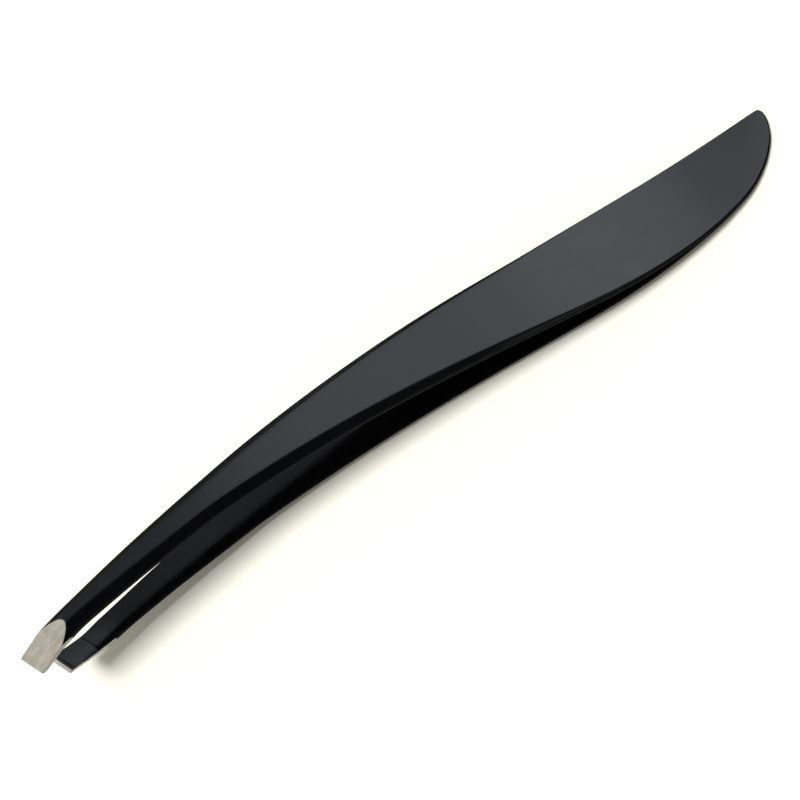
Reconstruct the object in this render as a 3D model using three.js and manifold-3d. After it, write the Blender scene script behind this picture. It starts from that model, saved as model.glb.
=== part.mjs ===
// Slant tweezers: two forged stainless-steel arms, mirror images of each other
// about a middle plane, spot-welded face to face at the tail and lacquered black.
// The last few millimetres of each arm are ground bare: a sloping facet outside,
// a narrow gripping land inside and a slanted end edge.
//
// Units are millimetres. The arms are drawn in the "arm frame": X runs from the
// tips to the tail, Y across the arm, Z is the distance from the middle plane.
// The finished pair is then tilted and lifted so that it lies on the plane Z = 0,
// on the belly of the lower arm and on its tail.
import * as THREE from 'three';
import Module from 'manifold-3d';
import { mergeVertices } from 'three/addons/utils/BufferGeometryUtils.js';

// ---------------------------------------------------------------- dimensions
// Plan outline of an arm: near edge (-Y side) and far edge (+Y side), [x, y].
const NEAR_EDGE = [
  [-1, -1.80], [0.73, -1.61], [3, -1.42], [5, -1.20], [7, -0.95], [10, -0.65], [13, -0.46], [16, -0.33],
  [22, -0.22], [28, -0.33], [34, -0.66], [40, -1.15], [46, -1.78], [52, -2.57], [58, -3.48], [64, -4.48],
  [70, -5.52], [74, -6.14], [78, -6.56], [81, -6.70], [84, -6.69],
];
const FAR_EDGE = [
  [-1, 1.36], [-0.75, 1.39], [2, 1.68], [4.7, 2.01], [7, 2.26], [10, 2.55], [13, 2.80], [16, 3.03],
  [22, 3.46], [28, 3.90], [34, 4.26], [40, 4.43], [46, 4.45], [52, 4.32], [58, 3.98], [64, 3.44],
  [70, 2.82], [74, 2.44], [78, 2.10], [81, 1.86], [84, 1.62],
];
// Rounded tail beyond x = 84: matching points of the near and the far outline.
const TAIL_NEAR = [[84, -6.69], [86.5, -6.52], [88.7, -6.22], [90.5, -5.80], [92.1, -5.17], [93.7, -4.22], [94.85, -3.34], [95.8, -2.28], [96.45, -1.05], [96.72, 0.12]];
const TAIL_FAR = [[84, 1.62], [86.5, 1.42], [88.7, 1.24], [90.4, 1.11], [91.8, 1.01], [93.1, 0.92], [94.2, 0.84], [95.2, 0.75], [96.1, 0.60], [96.72, 0.12]];
// Half of the gap between the arms, thickness, edge-wall height and bevel width, [x, value].
const HALF_GAP = [
  [3.69, 3.93], [5.5, 4.33], [7.5, 4.56], [10, 4.66], [13, 4.74], [16, 4.82],
  [22, 4.99], [28, 5.03], [34, 4.88], [40, 4.60], [46, 4.17], [52, 3.62], [58, 3.05], [64, 2.42],
  [70, 1.70], [76, 0.92], [80, 0.47], [83, 0.20], [86, 0.05], [90, 0.03], [97, 0.03],
];
const THICKNESS = [
  [0, 1.7], [4, 1.7], [10, 1.68], [16, 1.56], [22, 1.46], [28, 1.41], [34, 1.38], [40, 1.36], [46, 1.33],
  [52, 1.29], [58, 1.24], [64, 1.18], [70, 1.12], [76, 1.03], [80, 0.93], [84, 0.78], [88, 0.63], [92, 0.49], [95, 0.40], [97, 0.31],
];
const WALL_HEIGHT = [[0, 0.80], [5, 0.76], [8, 0.66], [12, 0.57], [20, 0.55], [40, 0.55], [64, 0.55], [70, 0.53], [76, 0.49], [84, 0.42], [90, 0.30], [97, 0.22]];
const BEVEL_WIDTH = [
  [0, 0.88], [4, 0.91], [10, 0.97], [16, 1.02], [22, 1.05], [34, 1.05], [46, 0.97], [52, 0.88],
  [58, 0.74], [64, 0.54], [70, 0.36], [76, 0.23], [80, 0.18], [88, 0.13], [97, 0.09],
];
const FAR_UNDERCUT = [[-1, 0.20], [1, 0.25], [3, 0.30], [4.5, 0.26], [5.6, 0.10], [6.6, 0], [12, 0], [97, 0]]; // inner far corner ground in at the tip
const CROWN = 0.015;            // rise of the outer face, as a share of its width
const CROWN_FLAT = 0.10;          // share of the crest width where the flat middle of the outer face starts

// Ground tip (upper arm, in the arm frame). The tip's own sections are slanted like
// its end edge; the slant fades out between SLANT_FULL_X and SLANT_GONE_X.
const EDGE_NEAR = [0.73, -1.56];  // near corner of the slanted end edge
const EDGE_FAR = [-0.75, 1.39];   // far corner, the longest point of the tip
const SLANT_FULL_X = 4;
const SLANT_GONE_X = 12;
const EDGE_THICKNESS = 0.36;      // end edge, land to outer facet
const TIP_HALF_OPENING = 2.60;    // land above the middle plane with the arms open
const OUTER_FACET_SLOPE = 0.470;  // rise of the outer facet per mm behind the edge
const LAND_END_X = 0.55;          // back of the gripping land, on the centre line
const CREASE_X = 3.69;            // crease where the inner face bends in, on the centre line
const SIDE_GRIND_BACK = [7.6, -0.90]; // where the near side grind runs out
const CLOSED_HALF_GAP = 0.03;     // land above the middle plane with the arms closed

// Flexure: each arm bends in its rear half; its stand-in pivot is across the arm here.
const PIVOT_X = 66;
const PIVOT_Z = 2.75;
const SPLIT_GAP = 0.3;            // clearance between an arm's welded root and its moving part
const TIP_SPLIT_X = 7.4;          // where the ground tip is parted from the lacquered arm
const TIP_SPLIT_GAP = 0.04;

// Spot welds between the arms' inner faces: [x, y, radius].
const WELDS = [[88.4, -2.5, 1.5], [92.3, -2.0, 1.2]];
const WELD_HALF_HEIGHT = 0.20;
const WELD_CLEARANCE = 0.06;

// Resting pose: tilt about Y, then a shift to the middle of the footprint.
const REST_TILT_DEG = 5.802572;
const REST_SHIFT = [-47.6298, 1.1242, 10.1421];

const LACQUER = { color: 0x0c0d10, roughness: 0.12, metalness: 0.0 };
const STEEL = { color: 0xb9b4aa, roughness: 0.38, metalness: 1.0 };

// ---------------------------------------------------------------- profile curves
// Natural cubic spline through [x, value] pairs.
function spline(pairs) {
  const n = pairs.length, x = pairs.map((q) => q[0]), y = pairs.map((q) => q[1]);
  const a = new Float64Array(n), b = new Float64Array(n), c = new Float64Array(n), r = new Float64Array(n), m = new Float64Array(n);
  b[0] = 1; b[n - 1] = 1;
  for (let i = 1; i < n - 1; i++) {
    const h0 = x[i] - x[i - 1], h1 = x[i + 1] - x[i];
    a[i] = h0; b[i] = 2 * (h0 + h1); c[i] = h1;
    r[i] = 6 * ((y[i + 1] - y[i]) / h1 - (y[i] - y[i - 1]) / h0);
  }
  for (let i = 1; i < n; i++) {
    const w = a[i] / b[i - 1];
    b[i] -= w * c[i - 1]; r[i] -= w * r[i - 1];
  }
  m[n - 1] = r[n - 1] / b[n - 1];
  for (let i = n - 2; i >= 0; i--) m[i] = (r[i] - c[i] * m[i + 1]) / b[i];
  return (v) => {
    let i = 0;
    while (i < n - 2 && v > x[i + 1]) i++;
    const h = x[i + 1] - x[i], s = (x[i + 1] - v) / h, t = (v - x[i]) / h;
    return s * y[i] + t * y[i + 1] + ((s * s * s - s) * m[i] + (t * t * t - t) * m[i + 1]) * h * h / 6;
  };
}
const nearY = spline(NEAR_EDGE), farY = spline(FAR_EDGE);
const gapCurve = spline(HALF_GAP), thickness = spline(THICKNESS);
const wallHeight = spline(WALL_HEIGHT), bevelWidth = spline(BEVEL_WIDTH);
const undercut = (x) => (x >= 6.6 ? 0 : spline(FAR_UNDERCUT)(x));
const EDGE_X = (EDGE_NEAR[0] + EDGE_FAR[0]) / 2;
const CLOSING_SINE = (TIP_HALF_OPENING - CLOSED_HALF_GAP) / (PIVOT_X - EDGE_X);
// Inner face: a land that is level once the arm has closed, a straight slope from
// the land to the crease, then the arm's own curve.
function halfGap(x) {
  if (x >= CREASE_X) return gapCurve(x);
  const landEnd = TIP_HALF_OPENING - (LAND_END_X - EDGE_X) * CLOSING_SINE;
  if (x <= LAND_END_X) return TIP_HALF_OPENING - (x - EDGE_X) * CLOSING_SINE;
  return landEnd + (gapCurve(CREASE_X) - landEnd) * (x - LAND_END_X) / (CREASE_X - LAND_END_X);
}

// ---------------------------------------------------------------- arm solid
// One cross-section between an outline point on the near side and one on the far
// side. nIn and fIn are the unit vectors from those points into the plan; zx gives
// the station that a point's heights are read at.
function section(n, f, nIn, fIn, zx = (p) => p[0]) {
  const at = (p, z) => [p[0], p[1], z];
  const inset = (p, d, w) => [p[0] + d[0] * w, p[1] + d[1] * w];
  const zi = (p) => halfGap(zx(p));
  const zo = (p) => zi(p) + thickness(zx(p));
  const zw = (p) => zi(p) + wallHeight(zx(p));
  const nc = inset(n, nIn, bevelWidth(zx(n))), fc = inset(f, fIn, bevelWidth(zx(f)));
  const width = Math.hypot(nc[0] - fc[0], nc[1] - fc[1]);
  const drop = CROWN * width;
  const mix = (t) => [nc[0] + (fc[0] - nc[0]) * t, nc[1] + (fc[1] - nc[1]) * t];
  const m1 = mix(CROWN_FLAT), m2 = mix(1 - CROWN_FLAT);
  return [
    at(inset(f, fIn, undercut(zx(f))), zi(f)), at(n, zi(n)), at(n, zw(n)), at(nc, zo(n) - drop),
    at(m1, zo(m1)), at(m2, zo(m2)), at(fc, zo(f) - drop), at(f, zw(f)),
  ];
}
function straightSection(x) {
  const t = Math.min(Math.max((x - SLANT_FULL_X) / (SLANT_GONE_X - SLANT_FULL_X), 0), 1);
  const slant = (EDGE_NEAR[0] - EDGE_FAR[0]) / 2 * (1 - t * t * (3 - 2 * t));
  const n = [x + slant, nearY(x + slant)], f = [x - slant, farY(x - slant)];
  const l = Math.hypot(f[0] - n[0], f[1] - n[1]);
  const across = [(f[0] - n[0]) / l, (f[1] - n[1]) / l];
  return section(n, f, across, [-across[0], -across[1]], () => x);
}
function tailSections() {
  const out = [];
  const last = TAIL_NEAR.length - 1;
  const inward = (pts, k, sign) => {
    if (k === last) return [-1, 0];
    const p = pts[Math.max(k - 1, 0)], q = pts[Math.min(k + 1, last)];
    const l = Math.hypot(q[0] - p[0], q[1] - p[1]);
    return [sign * -(q[1] - p[1]) / l, sign * (q[0] - p[0]) / l];
  };
  for (let k = 1; k <= last; k++) {
    out.push(section(TAIL_NEAR[k], TAIL_FAR[k], inward(TAIL_NEAR, k, 1), inward(TAIL_FAR, k, -1)));
  }
  return out;
}
// Closed solid through a list of sections with equal point counts. side = 1 is the
// upper arm; side = -1 mirrors it below the middle plane.
function loft(sections, side) {
  const verts = [], index = new Map(), tris = [];
  const vid = (p) => {
    const q = [p[0], p[1], side * p[2]];
    const key = q.map((v) => Math.round(v * 1e4)).join(',');
    if (!index.has(key)) { index.set(key, verts.length); verts.push(q); }
    return index.get(key);
  };
  const tri = (a, b, c) => {
    if (a === b || b === c || a === c) return;
    tris.push(side > 0 ? [a, c, b] : [a, b, c]);
  };
  const rows = sections.map((s) => s.map(vid));
  const m = rows[0].length;
  for (let i = 0; i + 1 < rows.length; i++) {
    for (let j = 0; j < m; j++) {
      const k = (j + 1) % m;
      tri(rows[i][j], rows[i][k], rows[i + 1][k]);
      tri(rows[i][j], rows[i + 1][k], rows[i + 1][j]);
    }
  }
  const first = rows[0], end = rows[rows.length - 1];
  for (let j = 1; j + 1 < m; j++) {
    tri(first[0], first[j + 1], first[j]);
    tri(end[0], end[j], end[j + 1]);
  }
  const g = new THREE.BufferGeometry();
  g.setAttribute('position', new THREE.Float32BufferAttribute(verts.flat(), 3));
  g.setIndex(tris.flat());
  return g;
}

// ---------------------------------------------------------------- booleans
const wasm = await Module();
wasm.setup();
function solid(geometry) {
  let g = geometry.clone();
  for (const name of Object.keys(g.attributes)) if (name !== 'position') g.deleteAttribute(name);
  g = mergeVertices(g, 1e-4);
  return new wasm.Manifold(new wasm.Mesh({
    numProp: 3,
    vertProperties: new Float32Array(g.attributes.position.array),
    triVerts: new Uint32Array(g.index.array),
  }));
}
function geometryOf(body) {
  const mesh = body.getMesh();
  const g = new THREE.BufferGeometry();
  g.setAttribute('position', new THREE.Float32BufferAttribute(Array.from(mesh.vertProperties), 3));
  g.setIndex(Array.from(mesh.triVerts));
  return g;
}
// A block whose one face lies on the plane through `point` with outward normal
// `normal` of what is kept: subtracting it grinds the part flat on that plane.
function grindBlock(point, normal) {
  const size = 40;
  const n = new THREE.Vector3(...normal).normalize();
  const g = new THREE.BoxGeometry(size, size, size);
  const centre = new THREE.Vector3(...point).addScaledVector(n, size / 2);
  const turn = new THREE.Quaternion().setFromUnitVectors(new THREE.Vector3(0, 0, 1), n);
  g.applyMatrix4(new THREE.Matrix4().compose(centre, turn, new THREE.Vector3(1, 1, 1)));
  return g;
}
function mirrored(v, side) { return [v[0], v[1], side * v[2]]; }

// Ground tip of one arm, from the slanted end edge back to TIP_SPLIT_X.
function tipGeometry(side) {
  const xs = [EDGE_X, LAND_END_X, 1.7, 2.7, CREASE_X, 4.6, 5.5, 6.5, TIP_SPLIT_X - TIP_SPLIT_GAP / 2];
  let body = solid(loft(xs.map(straightSection), side));
  const edge = [EDGE_FAR[0] - EDGE_NEAR[0], EDGE_FAR[1] - EDGE_NEAR[1]];
  const len = Math.hypot(...edge);
  const back = [edge[1] / len, -edge[0] / len];       // square to the edge, towards the tail
  const cuts = [
    // slanted end
    { point: [...EDGE_NEAR, TIP_HALF_OPENING], normal: [-back[0], -back[1], 0] },
    // outer facet
    { point: [...EDGE_NEAR, TIP_HALF_OPENING + EDGE_THICKNESS], normal: [-OUTER_FACET_SLOPE * back[0], -OUTER_FACET_SLOPE * back[1], 1] },
    // near side grind
    { point: [...EDGE_NEAR, TIP_HALF_OPENING], normal: [SIDE_GRIND_BACK[1] - EDGE_NEAR[1], EDGE_NEAR[0] - SIDE_GRIND_BACK[0], 0] },
  ];
  for (const cut of cuts) body = body.subtract(solid(grindBlock(mirrored(cut.point, side), mirrored(cut.normal, side))));
  return geometryOf(body);
}
function frontGeometry(side) {
  const xs = [TIP_SPLIT_X + TIP_SPLIT_GAP / 2, 9.5, 12, 15, 18.5, 22, 26, 30, 34, 38, 42, 46, 50, 54, 58, 62, PIVOT_X - SPLIT_GAP / 2];
  return loft(xs.map(straightSection), side);
}
function rootGeometry(side) {
  const xs = [PIVOT_X + SPLIT_GAP / 2, 68.5, 71, 73.5, 76, 78.5, 81, 84];
  let body = solid(loft([...xs.map(straightSection), ...tailSections()], side));
  for (const [x, y, r] of WELDS) {
    const pocket = new THREE.CylinderGeometry(r + WELD_CLEARANCE, r + WELD_CLEARANCE, 2 * (WELD_HALF_HEIGHT + WELD_CLEARANCE), 16);
    pocket.rotateX(Math.PI / 2).translate(x, y, 0);
    body = body.subtract(solid(pocket));
  }
  return geometryOf(body);
}

// ---------------------------------------------------------------- assembly
const tweezers = new THREE.Group();
const pair = new THREE.Group();
pair.rotation.y = THREE.MathUtils.degToRad(REST_TILT_DEG);
pair.position.set(...REST_SHIFT);
tweezers.add(pair);

function piece(name, geometry, finish) {
  const mesh = new THREE.Mesh(geometry, new THREE.MeshStandardMaterial(finish));
  mesh.name = name;
  pair.add(mesh);
}
for (const [arm, side] of [['upper', 1], ['lower', -1]]) {
  piece(`${arm}_arm_root`, rootGeometry(side), LACQUER);
  piece(`${arm}_arm_blade`, frontGeometry(side), LACQUER);
  piece(`${arm}_arm_tip`, tipGeometry(side), STEEL);
}
WELDS.forEach(([x, y, r], i) => {
  const nugget = new THREE.CylinderGeometry(r, r, 2 * WELD_HALF_HEIGHT, 16);
  nugget.rotateX(Math.PI / 2).translate(x, y, 0);
  piece(`spot_weld_${i + 1}`, nugget, STEEL);
});

export default tweezers;
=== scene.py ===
"""Slant tweezers: two gloss-lacquered steel arms with bare ground tips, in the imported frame."""
import math
import bpy
import bmesh
import numpy as np
from mathutils import Vector, Matrix


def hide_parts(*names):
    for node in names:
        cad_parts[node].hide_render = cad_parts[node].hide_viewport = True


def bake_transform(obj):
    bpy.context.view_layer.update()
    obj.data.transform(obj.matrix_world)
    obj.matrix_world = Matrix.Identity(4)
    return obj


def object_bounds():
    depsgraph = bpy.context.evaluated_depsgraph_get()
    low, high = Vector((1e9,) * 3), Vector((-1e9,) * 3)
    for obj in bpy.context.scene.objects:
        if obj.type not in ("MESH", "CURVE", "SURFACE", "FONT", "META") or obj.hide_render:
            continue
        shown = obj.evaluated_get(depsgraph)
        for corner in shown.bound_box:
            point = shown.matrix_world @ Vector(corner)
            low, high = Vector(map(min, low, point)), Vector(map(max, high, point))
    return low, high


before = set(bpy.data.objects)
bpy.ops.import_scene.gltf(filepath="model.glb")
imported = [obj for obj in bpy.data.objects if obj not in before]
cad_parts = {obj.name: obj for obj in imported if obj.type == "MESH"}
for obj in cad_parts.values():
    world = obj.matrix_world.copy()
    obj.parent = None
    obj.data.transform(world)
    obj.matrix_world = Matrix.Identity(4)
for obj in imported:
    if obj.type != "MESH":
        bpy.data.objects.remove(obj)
cad_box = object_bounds()

# ---------------------------------------------------------------- driving dimensions (mm, arm frame)
NEAR_EDGE = [[-1, -1.80], [0.73, -1.61], [3, -1.42], [5, -1.20], [7, -0.95], [10, -0.65], [13, -0.46], [16, -0.33], [22, -0.22], [28, -0.33], [34, -0.66], [40, -1.15], [46, -1.78], [52, -2.57], [58, -3.48], [64, -4.48], [70, -5.52], [74, -6.14], [78, -6.56], [81, -6.70], [84, -6.69]]
FAR_EDGE = [[-1, 1.36], [-0.75, 1.39], [2, 1.68], [4.7, 2.01], [7, 2.26], [10, 2.55], [13, 2.80], [16, 3.03], [22, 3.46], [28, 3.90], [34, 4.26], [40, 4.43], [46, 4.45], [52, 4.32], [58, 3.98], [64, 3.44], [70, 2.82], [74, 2.44], [78, 2.10], [81, 1.86], [84, 1.62]]
TAIL_NEAR = [[84, -6.69], [86.5, -6.52], [88.7, -6.22], [90.5, -5.83], [92.15, -5.22], [93.85, -4.22], [94.95, -3.28], [95.85, -2.24], [96.45, -1.05], [96.62, -0.38], [96.66, 0.08]]
TAIL_FAR = [[84, 1.62], [86.5, 1.42], [88.7, 1.24], [90.4, 1.11], [91.8, 1.01], [93.1, 0.92], [94.2, 0.845], [95.2, 0.775], [96.05, 0.70], [96.48, 0.54], [96.66, 0.08]]
HALF_GAP = [[3.69, 3.93], [5.5, 4.33], [7.5, 4.56], [10, 4.66], [13, 4.74], [16, 4.82], [22, 4.99], [28, 5.03], [34, 4.88], [40, 4.60], [46, 4.17], [52, 3.62], [58, 3.05], [64, 2.42], [70, 1.70], [76, 0.92], [80, 0.47], [83, 0.20], [86, 0.05], [90, 0.03], [97, 0.03]]
THICKNESS = [[0, 1.7], [4, 1.7], [10, 1.68], [16, 1.56], [22, 1.46], [28, 1.41], [34, 1.38], [40, 1.36], [46, 1.33], [52, 1.29], [58, 1.24], [64, 1.18], [70, 1.12], [76, 1.03], [80, 0.93], [84, 0.78], [88, 0.63], [92, 0.49], [95, 0.40], [97, 0.31]]
WALL_HEIGHT = [[0, 0.80], [5, 0.76], [8, 0.66], [12, 0.57], [20, 0.55], [40, 0.55], [64, 0.55], [70, 0.53], [76, 0.49], [84, 0.42], [90, 0.30], [97, 0.22]]
BEVEL_WIDTH = [[0, 0.88], [4, 0.91], [10, 0.97], [16, 1.02], [22, 1.05], [34, 1.05], [46, 0.97], [52, 0.88], [58, 0.74], [64, 0.54], [70, 0.36], [76, 0.23], [80, 0.18], [88, 0.13], [97, 0.09]]
FAR_UNDERCUT = [[-1, 0.20], [1, 0.25], [3, 0.30], [4.5, 0.26], [5.6, 0.10], [6.6, 0], [12, 0], [97, 0]]
CROWN, CROWN_TIP = 0.015, 0.075
EDGE_NEAR = (0.73, -1.56)
EDGE_FAR = (-0.75, 1.39)
SLANT_FULL_X, SLANT_GONE_X = 4.0, 12.0
EDGE_THICKNESS = 0.36
TIP_HALF_OPENING = 2.60
OUTER_FACET_SLOPE = 0.470
LAND_END_X, CREASE_X = 0.55, 3.69
SIDE_GRIND_BACK = (7.6, -0.90)
CLOSED_HALF_GAP = 0.03
PIVOT_X = 66.0
REST_TILT = math.radians(5.802572)
REST_SHIFT = (-47.6298, 1.1242, 10.1421)

# edge roundings (distance from the corner to where the rounding starts) and ground-edge chamfers
ROUND_INNER, ROUND_WALL, ROUND_CREST, ROUND_CREST_TIP = 0.09, 0.20, 0.24, 0.70
CHAMFER_IN, CHAMFER_DOWN = 0.075, 0.022
CREASE_BOW = 0.24
INNER_CROWN = 0.13
NEAR_PROUD = [[4, 0], [6, 0], [8, 0.005], [10, 0.06], [13, 0.12], [18, 0.15], [21, 0.16], [24, 0.11], [28, 0]]
FAR_PROUD = [[4, 0], [6, -0.09], [8, -0.08], [10, -0.05], [12, 0.01], [14, 0.05], [16.2, 0.08], [19, 0.09], [22, 0.07], [28, 0]]
CREASE_GROOVE, CREASE_GROOVE_HALF = 0.05, 0.09
REACH_TIP = 0.33  # share of the crest taken by each crest rounding at the tip
TAIL_FAR_BEVEL = 0.24


def spline(pairs):
    x = np.array([p[0] for p in pairs], float)
    y = np.array([p[1] for p in pairs], float)
    n = len(x)
    h = np.diff(x)
    a = np.zeros((n, n))
    r = np.zeros(n)
    a[0, 0] = a[-1, -1] = 1
    for i in range(1, n - 1):
        a[i, i - 1], a[i, i], a[i, i + 1] = h[i - 1], 2 * (h[i - 1] + h[i]), h[i]
        r[i] = 6 * ((y[i + 1] - y[i]) / h[i] - (y[i] - y[i - 1]) / h[i - 1])
    m = np.linalg.solve(a, r)

    def value(v):
        i = int(np.clip(np.searchsorted(x, v, side="left") - 1, 0, n - 2))
        s, t = (x[i + 1] - v) / h[i], (v - x[i]) / h[i]
        return float(s * y[i] + t * y[i + 1] + ((s**3 - s) * m[i] + (t**3 - t) * m[i + 1]) * h[i] ** 2 / 6)

    return value


near_y, far_y = spline(NEAR_EDGE), spline(FAR_EDGE)
gap_curve, thickness = spline(HALF_GAP), spline(THICKNESS)
wall_height, bevel_width = spline(WALL_HEIGHT), spline(BEVEL_WIDTH)
undercut_curve = spline(FAR_UNDERCUT)
near_proud, far_proud = spline(NEAR_PROUD), spline(FAR_PROUD)
EDGE_X = (EDGE_NEAR[0] + EDGE_FAR[0]) / 2
CLOSING_SINE = (TIP_HALF_OPENING - CLOSED_HALF_GAP) / (PIVOT_X - EDGE_X)


def undercut(x):
    return 0.0 if x >= 6.6 else undercut_curve(x)


def half_gap(x):
    if x >= CREASE_X:
        return gap_curve(x)
    land_end = TIP_HALF_OPENING - (LAND_END_X - EDGE_X) * CLOSING_SINE
    if x <= LAND_END_X:
        return TIP_HALF_OPENING - (x - EDGE_X) * CLOSING_SINE
    return land_end + (gap_curve(CREASE_X) - land_end) * (x - LAND_END_X) / (CREASE_X - LAND_END_X)


def smooth(t):
    t = min(max(t, 0.0), 1.0)
    return t * t * (3 - 2 * t)


# ---------------------------------------------------------------- cross-sections
def edge_proud(table, x):
    """The inner edges stand a hair off their nominal line behind the tip."""
    return table(x) if 4.0 < x < 28.0 else 0.0


def stations():
    """(near point, far point, inward vectors, near x for heights, far x for heights) from the edge to the tail."""
    xs = [-0.22, -0.1]
    v = 0.0
    while v < 8.0 - 1e-9:
        xs.append(v)
        v += 0.05 if 3.4 <= v < 4.3 else (0.1 if (0.2 < v < 0.9 or 3.2 <= v < 3.4) else 0.2)
    while v < 16.0 - 1e-9:
        xs.append(v)
        v += 0.5
    while v < 84.0 - 1e-9:
        xs.append(v)
        v += 0.85
    out = []
    for x in xs:
        slant = (EDGE_NEAR[0] - EDGE_FAR[0]) / 2 * (1 - smooth((x - SLANT_FULL_X) / (SLANT_GONE_X - SLANT_FULL_X)))
        n = np.array([x + slant, near_y(x + slant) - edge_proud(near_proud, x)])
        f = np.array([x - slant, far_y(x - slant) + edge_proud(far_proud, x)])
        across = (f - n) / np.linalg.norm(f - n)
        out.append((n, f, across, -across, x, x))
    k = np.arange(len(TAIL_NEAR), dtype=float)
    curves = [spline(list(zip(k, [p[i] for p in table]))) for table in (TAIL_NEAR, TAIL_FAR) for i in (0, 1)]
    last = len(TAIL_NEAR) - 1
    ks = list(np.linspace(0.0, 7.0, 29)) + list(np.linspace(7.12, 9.2, 20)) + [9.29, 9.37, 9.45, 9.52, 9.59, 9.65, 9.71, 9.77, 9.82, 9.87, 9.91, 9.94, 9.965, 9.985, 10.0]
    for q in ks:
        p = np.array([c(q) for c in curves])
        e = 0.02
        d = (np.array([c(min(q + e, last)) for c in curves]) - np.array([c(max(q - e, 0)) for c in curves]))
        tn, tf = d[:2] / np.linalg.norm(d[:2]), d[2:] / np.linalg.norm(d[2:])
        inn, inf = np.array([-tn[1], tn[0]]), np.array([tf[1], -tf[0]])
        w = smooth(q / 1.0)
        inn, inf = (1 - w) * np.array([0, 1.0]) + w * inn, (1 - w) * np.array([0, -1.0]) + w * inf
        w = smooth((q - 8.4) / 1.6)
        inn, inf = (1 - w) * inn + w * np.array([-1.0, 0]), (1 - w) * inf + w * np.array([-1.0, 0])
        inn, inf = inn / np.linalg.norm(inn), inf / np.linalg.norm(inf)
        out.append((p[:2], p[2:], inn, inf, p[0], p[2]))
    return out


def curve(a, corner, b, count):
    return [(1 - t) ** 2 * a + 2 * t * (1 - t) * corner + t * t * b for t in np.linspace(0, 1, count)]


def part_way(corner, other, d):
    length = np.linalg.norm(other - corner)
    return corner + (other - corner) * (min(d, 0.46 * length) / length if length > 1e-9 else 0.0)


def rounded(corner, before, after, d, count):
    """Points of a rounding at a corner between two straight runs."""
    d = min(d, 0.42 * np.linalg.norm(before - corner), 0.42 * np.linalg.norm(after - corner))
    return curve(part_way(corner, before, d), corner, part_way(corner, after, d), count)


def run(a, b, fractions):
    return [a + (b - a) * t for t in fractions]


def ring(station):
    n, f, inn, inf, xn, xf = station
    zin, zif = half_gap(xn), half_gap(xf)
    zon, zof = zin + thickness(xn), zif + thickness(xf)
    at_tail = smooth((xf - 64.0) / 12.0)
    far_bevel = bevel_width(xf) + at_tail * (TAIL_FAR_BEVEL * (1 - 0.5 * smooth((xf - 93.0) / 4.0)) - bevel_width(xf))
    far_wall = wall_height(xf) + at_tail * (thickness(xf) - far_bevel - wall_height(xf))
    nc, fc = n + inn * bevel_width(xn), f + inf * far_bevel
    crown_rise = CROWN + (CROWN_TIP - CROWN) * (1 - smooth((xn - 6.0) / 16.0))
    drop = crown_rise * float(np.linalg.norm(nc - fc))
    pt = lambda p, z: np.array([p[0], p[1], z])
    p0 = pt(f + inf * undercut(xf), zif)
    p1 = pt(n, zin)
    p2 = pt(n, zin + wall_height(xn))
    p3 = pt(nc, zon - drop)
    p5 = pt(fc, zof - drop)
    p6 = pt(f, zif + far_wall)
    soft = ROUND_CREST + (ROUND_CREST_TIP - ROUND_CREST) * (1 - smooth((xn - 8.0) / 20.0))
    soft *= 1 - 0.8 * smooth((xn - 58.0) / 26.0)
    crisp = ROUND_INNER * (0.45 + 0.55 * smooth((xn - 20.0) / 20.0))
    r0 = rounded(p0, p6, p1, crisp, 5)
    r1 = rounded(p1, p0, p2, crisp, 5)
    r2 = rounded(p2, p1, p3, ROUND_WALL, 7)
    width = float(np.linalg.norm(p5 - p3))
    reach = 0.23 + (REACH_TIP - 0.23) * (1 - smooth((xn - 8.0) / 20.0))
    ta = min(soft / max(width, 1e-9), reach)
    crest = lambda t: p3 + (p5 - p3) * t + np.array([0, 0, 4 * drop * t * (1 - t)])
    r3 = curve(part_way(p3, p2, soft), p3, crest(ta), 9)
    r5 = curve(crest(1 - ta), p5, part_way(p5, p6, soft), 9)
    r6 = rounded(p6, p5, p0, ROUND_WALL, 7)
    inner = run(r0[-1], r1[0], [0.02, 0.08, 0.2, 0.35, 0.5, 0.65, 0.8, 0.92, 0.98])
    # the inner face is slightly proud along its middle, flat again at the edge and over the welds
    proud = INNER_CROWN * smooth((xn - 1.2) / 4.0) * (1 - smooth((xn - 42.0) / 18.0))
    for q, t in zip(inner, [0.02, 0.08, 0.2, 0.35, 0.5, 0.65, 0.8, 0.92, 0.98]):
        q[2] -= proud * 4 * t * (1 - t)
    if xn < 12:
        # the inner grind meets the arm in a shallow bow
        fade = 1 - smooth((xn - 6.0) / 4.0)
        for q, t in zip(inner, [0.02, 0.08, 0.2, 0.35, 0.5, 0.65, 0.8, 0.92, 0.98]):
            at = xn - CREASE_BOW * 4 * t * (1 - t) * fade
            q[2] += half_gap(at) - half_gap(xn) if xn > LAND_END_X + 0.3 else 0.0
            q[2] += CREASE_GROOVE * math.exp(-((at - CREASE_X - 0.05) / CREASE_GROOVE_HALF) ** 2)
    crown = [crest(ta + (1 - 2 * ta) * q) for q in (0.03, 0.1, 0.2, 0.3, 0.4, 0.5, 0.6, 0.7, 0.8, 0.9, 0.97)]
    return (r0 + inner + r1 + run(r1[-1], r2[0], [0.15, 0.5, 0.85]) + r2 + run(r2[-1], r3[0], [0.08, 0.36, 0.64, 0.92]) + r3
            + crown + r5 + run(r5[-1], r6[0], [0.08, 0.36, 0.64, 0.92]) + r6 + run(r6[-1], r0[0], [0.15, 0.5, 0.85]))


# ---------------------------------------------------------------- arm mesh
def to_row(p):
    c, s = math.cos(REST_TILT), math.sin(REST_TILT)
    return Vector(((p[0] * c + p[2] * s + REST_SHIFT[0]) * 1e-3, (p[1] + REST_SHIFT[1]) * 1e-3, (-p[0] * s + p[2] * c + REST_SHIFT[2]) * 1e-3))


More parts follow.
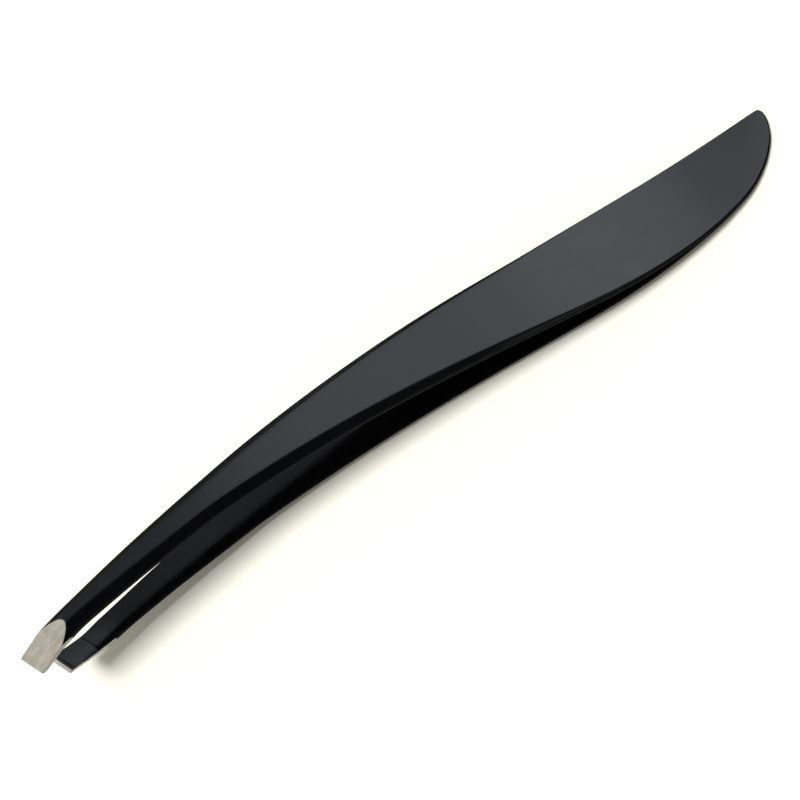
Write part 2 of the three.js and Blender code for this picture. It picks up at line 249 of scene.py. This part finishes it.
# slot 3 is a less glossy copy of the lacquer for the inner faces: painted shade
LACQUER, STEEL, GROUND, SHADED_INNER = 0, 1, 2, 3
edge = np.array(EDGE_FAR) - np.array(EDGE_NEAR)
edge = edge / np.linalg.norm(edge)
BACK = np.array([edge[1], -edge[0]])


def grind(bm, point, normal, name_layer, tag, material):
    faces = [f for f in bm.faces if all(v.co.x < 7.9 for v in f.verts)]
    edges = list({e for f in faces for e in f.edges})
    geom = list({v for e in edges for v in e.verts}) + edges + faces
    bmesh.ops.bisect_plane(bm, geom=geom, dist=1e-5, plane_co=point, plane_no=normal, clear_outer=True)
    rim = [e for e in bm.edges if e.is_boundary and e.verts[0].co.x < 20]
    made = bmesh.ops.edgeloop_fill(bm, edges=rim)
    for face in made["faces"]:
        face.material_index = material
        face[name_layer] = tag
        face.smooth = False


def arm(side, name):
    rings = [ring(s) for s in stations()]
    bm = bmesh.new()
    tag = bm.faces.layers.int.new("cut")
    rows = [[bm.verts.new((p[0], p[1], p[2])) for p in r] for r in rings]
    m = len(rows[0])
    for i in range(len(rows) - 1):
        for j in range(m):
            k = (j + 1) % m
            bm.faces.new((rows[i][j], rows[i + 1][j], rows[i + 1][k], rows[i][k]))
    bm.faces.new(rows[0])
    bmesh.ops.remove_doubles(bm, verts=bm.verts[:], dist=2e-4)
    bmesh.ops.dissolve_degenerate(bm, dist=1e-5, edges=bm.edges[:])
    tail_rim = [e for e in bm.edges if e.is_boundary and e.verts[0].co.x > 90]
    if tail_rim:
        bmesh.ops.edgeloop_fill(bm, edges=tail_rim)
    for face in bm.faces:
        face.smooth = True
    grind(bm, (*EDGE_NEAR, TIP_HALF_OPENING), (-BACK[0], -BACK[1], 0), tag, 1, GROUND)
    grind(bm, (*EDGE_NEAR, TIP_HALF_OPENING + EDGE_THICKNESS), (-OUTER_FACET_SLOPE * BACK[0], -OUTER_FACET_SLOPE * BACK[1], 1), tag, 2, GROUND)
    grind(bm, (*EDGE_NEAR, TIP_HALF_OPENING), (SIDE_GRIND_BACK[1] - EDGE_NEAR[1], EDGE_NEAR[0] - SIDE_GRIND_BACK[0], 0), tag, 3, STEEL)
    bmesh.ops.remove_doubles(bm, verts=[v for v in bm.verts if v.co.x < 9], dist=0.004)
    # small chamfers round the ground faces
    cuts = [f for f in bm.faces if f[tag] > 0]
    normals = {}
    for f in cuts:
        f.normal_update()
        for v in f.verts:
            normals.setdefault(v, []).append(f.normal.copy())
    bmesh.ops.inset_individual(bm, faces=cuts, thickness=CHAMFER_IN, depth=0, use_even_offset=False)
    for v, ns in normals.items():
        if v.is_valid:
            for nrm in ns:
                v.co -= nrm * CHAMFER_DOWN
    # bare gripping land on the inner face, at the edge; the other inner faces take the less glossy lacquer copy,
    # painted shade where the other arm would block their reflection
    for f in bm.faces:
        if f[tag] == 0:
            c = f.calc_center_median()
            u = (c.x - EDGE_NEAR[0]) * BACK[0] + (c.y - EDGE_NEAR[1]) * BACK[1]
            if u < 0.50 and c.z < TIP_HALF_OPENING + 0.03 and f.normal.z < -0.5:
                f.material_index = STEEL
            elif f.normal.z < -0.55:
                f.material_index = SHADED_INNER
    bmesh.ops.recalc_face_normals(bm, faces=bm.faces[:])
    for v in bm.verts:
        v.co.z *= side
        v.co = to_row(v.co)
        for axis in range(3):
            v.co[axis] = min(max(v.co[axis], cad_box[0][axis]), cad_box[1][axis])
    if side < 0:
        bmesh.ops.reverse_faces(bm, faces=bm.faces[:])
    mesh = bpy.data.meshes.new(name)
    bm.to_mesh(mesh)
    bm.free()
    obj = bpy.data.objects.new(name, mesh)
    bpy.context.scene.collection.objects.link(obj)
    return obj


# ---------------------------------------------------------------- materials
def new_material(name):
    mat = bpy.data.materials.new(name)
    mat.use_nodes = True
    tree = mat.node_tree
    return mat, tree, tree.nodes["Principled BSDF"]


def coords(tree, scale=(1, 1, 1), turn=(0, 0, 0)):
    tc = tree.nodes.new("ShaderNodeTexCoord")
    mp = tree.nodes.new("ShaderNodeMapping")
    mp.inputs["Scale"].default_value = scale
    mp.inputs["Rotation"].default_value = turn
    tree.links.new(tc.outputs["Object"], mp.inputs["Vector"])
    return mp.outputs["Vector"]


def noise(tree, vector, scale, detail=2.0, rough=0.5):
    n = tree.nodes.new("ShaderNodeTexNoise")
    n.inputs["Scale"].default_value = scale
    n.inputs["Detail"].default_value = detail
    n.inputs["Roughness"].default_value = rough
    tree.links.new(vector, n.inputs["Vector"])
    return n.outputs["Fac"]


def ranged(tree, value, lo, hi, a=0.3, b=0.7):
    r = tree.nodes.new("ShaderNodeMapRange")
    r.inputs["From Min"].default_value = a
    r.inputs["From Max"].default_value = b
    r.inputs["To Min"].default_value = lo
    r.inputs["To Max"].default_value = hi
    tree.links.new(value, r.inputs["Value"])
    return r.outputs["Result"]


def lacquer_material(name, gloss, coat):
    mat, tree, shader = new_material(name)
    vec = coords(tree)
    ramp = tree.nodes.new("ShaderNodeValToRGB")
    ramp.color_ramp.elements[0].color = (0.0012, 0.0013, 0.0017, 1)
    ramp.color_ramp.elements[1].color = (0.0019, 0.0020, 0.0026, 1)
    tree.links.new(noise(tree, vec, 60, 3.0), ramp.inputs["Fac"])
    tree.links.new(ramp.outputs["Color"], shader.inputs["Base Color"])
    tree.links.new(ranged(tree, noise(tree, vec, 900, 2.0), 0.13, 0.21), shader.inputs["Roughness"])
    shader.inputs["IOR"].default_value = 1.5
    shader.inputs["Specular IOR Level"].default_value = gloss
    if coat > 0:
        # coat weight falls to a fifth over the tail end (X 30 to 47 mm): painted shade, a dimmer reflection on the
        # tail
        split = tree.nodes.new("ShaderNodeSeparateXYZ")
        tree.links.new(vec, split.inputs[0])
        tree.links.new(ranged(tree, split.outputs["X"], coat, coat * 0.2, 0.030, 0.047), shader.inputs["Coat Weight"])
    shader.inputs["Coat Roughness"].default_value = 0.06
    shader.inputs["Coat IOR"].default_value = 1.5
    bump = tree.nodes.new("ShaderNodeBump")
    bump.inputs["Strength"].default_value = 0.012
    bump.inputs["Distance"].default_value = 0.0003
    tree.links.new(noise(tree, vec, 260, 1.0), bump.inputs["Height"])
    tree.links.new(bump.outputs["Normal"], shader.inputs["Normal"])
    return mat


def steel_material(name, colour_a, colour_b, metal, rough, scratch, turn=0.0, contrast=0.10):
    """Ground stainless steel: fine grinding streaks over soft blotches."""
    mat, tree, shader = new_material(name)
    along = coords(tree, (700, 9000, 3000), (0, 0, turn))
    fine = noise(tree, along, 1.0, 4.0, 0.65)
    medium = noise(tree, coords(tree, (330, 2300, 900), (0, 0, turn - 0.12)), 1.0, 2.0, 0.5)
    broad = noise(tree, coords(tree), 700, 2.0)
    streak = tree.nodes.new("ShaderNodeMath")
    streak.operation = "MULTIPLY_ADD"
    tree.links.new(ranged(tree, fine, 0.0, 1.0, 0.5 - contrast * 1.6, 0.5 + contrast * 1.6), streak.inputs[0])
    streak.inputs[1].default_value = 0.42
    tree.links.new(ranged(tree, medium, 0.0, 0.28, 0.38, 0.62), streak.inputs[2])
    blend = tree.nodes.new("ShaderNodeMath")
    blend.operation = "ADD"
    tree.links.new(streak.outputs[0], blend.inputs[0])
    tree.links.new(ranged(tree, broad, 0.09, 0.23), blend.inputs[1])
    mix = tree.nodes.new("ShaderNodeMix")
    mix.data_type = "RGBA"
    mix.inputs["A"].default_value = (*colour_a, 1)
    mix.inputs["B"].default_value = (*colour_b, 1)
    tree.links.new(blend.outputs[0], mix.inputs["Factor"])
    tree.links.new(mix.outputs["Result"], shader.inputs["Base Color"])
    shader.inputs["Metallic"].default_value = metal
    tree.links.new(ranged(tree, fine, rough - 0.06, rough + 0.08), shader.inputs["Roughness"])
    bump = tree.nodes.new("ShaderNodeBump")
    bump.inputs["Strength"].default_value = scratch
    bump.inputs["Distance"].default_value = 0.00002
    tree.links.new(fine, bump.inputs["Height"])
    tree.links.new(bump.outputs["Normal"], shader.inputs["Normal"])
    return mat


lacquer = lacquer_material("black_lacquer", 0.5, 0.5)
# less glossy, uncoated copy of the lacquer for the inner faces: painted shade in place of the reflection the other
# arm blocks
shaded_inner_lacquer = lacquer_material("shaded_inner_lacquer", 0.36, 0.0)
steel = steel_material("bare_steel", (0.58, 0.555, 0.50), (0.97, 0.945, 0.88), 0.40, 0.34, 0.3, 0.45)
ground = steel_material("ground_facet", (0.45, 0.395, 0.295), (0.92, 0.84, 0.69), 0.85, 0.42, 0.5, -0.75)

for side, arm_name in ((1, "upper_arm"), (-1, "lower_arm")):
    piece = arm(side, arm_name + "_forging")
    for mat in (lacquer, steel, ground, shaded_inner_lacquer):
        piece.data.materials.append(mat)
    z = side * half_gap(84.0)
    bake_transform(piece)
    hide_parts(arm_name + "_root", arm_name + "_blade", arm_name + "_tip")

weld_steel = steel_material("weld_steel", (0.28, 0.25, 0.23), (0.55, 0.52, 0.48), 1.0, 0.45, 0.3)
for name in ("spot_weld_1", "spot_weld_2"):
    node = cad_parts[name]
    node.data.materials.clear()
    node.data.materials.append(weld_steel)

# ---------------------------------------------------------------- floor, light, camera
KEY_FROM, KEY_ANGLE, KEY_ENERGY = (0.03, 0.090, 1.0), 19.5, 2.85
FILL = 0.35


def stage_floor():
    mesh = bpy.data.meshes.new("floor")
    r, z = 3.0, -0.00003
    mesh.from_pydata([(-r, -r, z), (r, -r, z), (r, r, z), (-r, r, z)], [], [(0, 1, 2, 3)])
    obj = bpy.data.objects.new("floor", mesh)
    bpy.context.scene.collection.objects.link(obj)
    mat, tree, shader = new_material("floor_white")
    shader.inputs["Roughness"].default_value = 0.9
    shader.inputs["Specular IOR Level"].default_value = 0.0
    # glossy rays see the floor nearly black: painted shade in its reflections on the lacquer; other rays see its warm
    # white
    path = tree.nodes.new("ShaderNodeLightPath")
    floor_colour_and_reflected_shade = tree.nodes.new("ShaderNodeMix")
    floor_colour_and_reflected_shade.data_type = "RGBA"
    floor_colour_and_reflected_shade.inputs["A"].default_value = (0.93, 0.925, 0.835, 1)
    floor_colour_and_reflected_shade.inputs["B"].default_value = (0.05, 0.05, 0.046, 1)
    tree.links.new(path.outputs["Is Glossy Ray"], floor_colour_and_reflected_shade.inputs["Factor"])
    tree.links.new(floor_colour_and_reflected_shade.outputs["Result"], shader.inputs["Base Color"])
    mesh.materials.append(mat)


stage_floor()


# one large soft light, far away and almost overhead
key_data = bpy.data.lights.new("key", "SUN")
key_data.angle = math.radians(KEY_ANGLE)
key_data.energy = KEY_ENERGY
key = bpy.data.objects.new("key", key_data)
key.location = (0.0, 0.1, 0.6)
key.rotation_euler = (-Vector(KEY_FROM)).to_track_quat("-Z", "Y").to_euler()
key.visible_glossy = False
bpy.context.scene.collection.objects.link(key)

world = bpy.data.worlds.new("studio")
bpy.context.scene.world = world
world.use_nodes = True
wt = world.node_tree
wt.nodes.clear()
out = wt.nodes.new("ShaderNodeOutputWorld")


tc = wt.nodes.new("ShaderNodeTexCoord")
axes = wt.nodes.new("ShaderNodeSeparateXYZ")
wt.links.new(tc.outputs["Generated"], axes.inputs[0])


def profile(axis, stops):
    """Brightness along one axis of the direction, from [(direction cosine, value)...]."""
    r = wt.nodes.new("ShaderNodeMapRange")
    r.inputs["From Min"].default_value = -1
    wt.links.new(axes.outputs[axis], r.inputs["Value"])
    ramp = wt.nodes.new("ShaderNodeValToRGB")
    ramp.color_ramp.interpolation = "EASE"
    el = ramp.color_ramp.elements
    while len(el) < len(stops):
        el.new(0.5)
    for e, (at, value) in zip(el, stops):
        e.position = (at + 1) / 2
        e.color = (value, value, value, 1)
    wt.links.new(r.outputs["Result"], ramp.inputs["Fac"])
    return ramp.outputs["Color"]


def times(a, b):
    m = wt.nodes.new("ShaderNodeMath")
    m.operation = "MULTIPLY"
    wt.links.new(a, m.inputs[0])
    wt.links.new(b, m.inputs[1])
    return m.outputs[0]


# soft overhead box: brightest over the tail half, dark behind the camera
along = profile("X", [(-1.0, 0.80), (-0.85, 0.80), (-0.62, 0.42), (-0.45, 0.24), (-0.30, 0.28), (-0.22, 0.38), (-0.14, 0.58), (-0.07, 0.80), (0.0, 0.90), (0.15, 0.96), (0.25, 1.05), (0.35, 1.36), (0.43, 1.38), (0.55, 0.85), (0.72, 0.34), (1.0, 0.20)])
across = profile("Y", [(-1.0, 0.32), (-0.94, 0.22), (-0.87, 0.045), (-0.60, 0.03), (-0.45, 0.10), (-0.10, 0.90), (0.10, 1.0), (0.50, 1.0), (0.85, 0.80), (1.0, 0.85)])
sky = wt.nodes.new("ShaderNodeBackground")
sky.inputs["Color"].default_value = (0.95, 0.995, 1.08, 1)
wt.links.new(times(along, across), sky.inputs["Strength"])
fill = wt.nodes.new("ShaderNodeBackground")
fill.inputs["Color"].default_value = (1.0, 0.965, 0.89, 1)
fill.inputs["Strength"].default_value = FILL
seen = wt.nodes.new("ShaderNodeBackground")
seen.inputs["Color"].default_value = (1, 1, 1, 1)
seen.inputs["Strength"].default_value = 1.0
path = wt.nodes.new("ShaderNodeLightPath")
pick = wt.nodes.new("ShaderNodeMixShader")
wt.links.new(path.outputs["Is Camera Ray"], pick.inputs[0])
for_matte = wt.nodes.new("ShaderNodeMixShader")
wt.links.new(path.outputs["Is Diffuse Ray"], for_matte.inputs[0])
wt.links.new(sky.outputs[0], for_matte.inputs[1])
wt.links.new(fill.outputs[0], for_matte.inputs[2])
wt.links.new(for_matte.outputs[0], pick.inputs[1])
wt.links.new(seen.outputs[0], pick.inputs[2])
wt.links.new(pick.outputs[0], out.inputs["Surface"])

cam_data = bpy.data.cameras.new("camera")
cam_data.sensor_width = 36.0
cam_data.sensor_fit = "HORIZONTAL"
cam_data.lens = 64.27954
cam_data.clip_start = 0.005
cam_data.clip_end = 20
cam = bpy.data.objects.new("camera", cam_data)
cx, cy, cz = (0.74775037, -0.53643012, -0.39129542), (0.61541692, 0.78115751, 0.10514257), (0.24926171, -0.31943022, 0.91423899)
cam.matrix_world = Matrix(((cx[0], cy[0], cz[0], 0.03930232532), (cx[1], cy[1], cz[1], -0.04754807366), (cx[2], cy[2], cz[2], 0.14261014561), (0, 0, 0, 1)))
bpy.context.scene.collection.objects.link(cam)
bpy.context.scene.camera = cam
bpy.context.scene.view_settings.view_transform = "Standard"
bpy.context.scene.view_settings.look = "None"
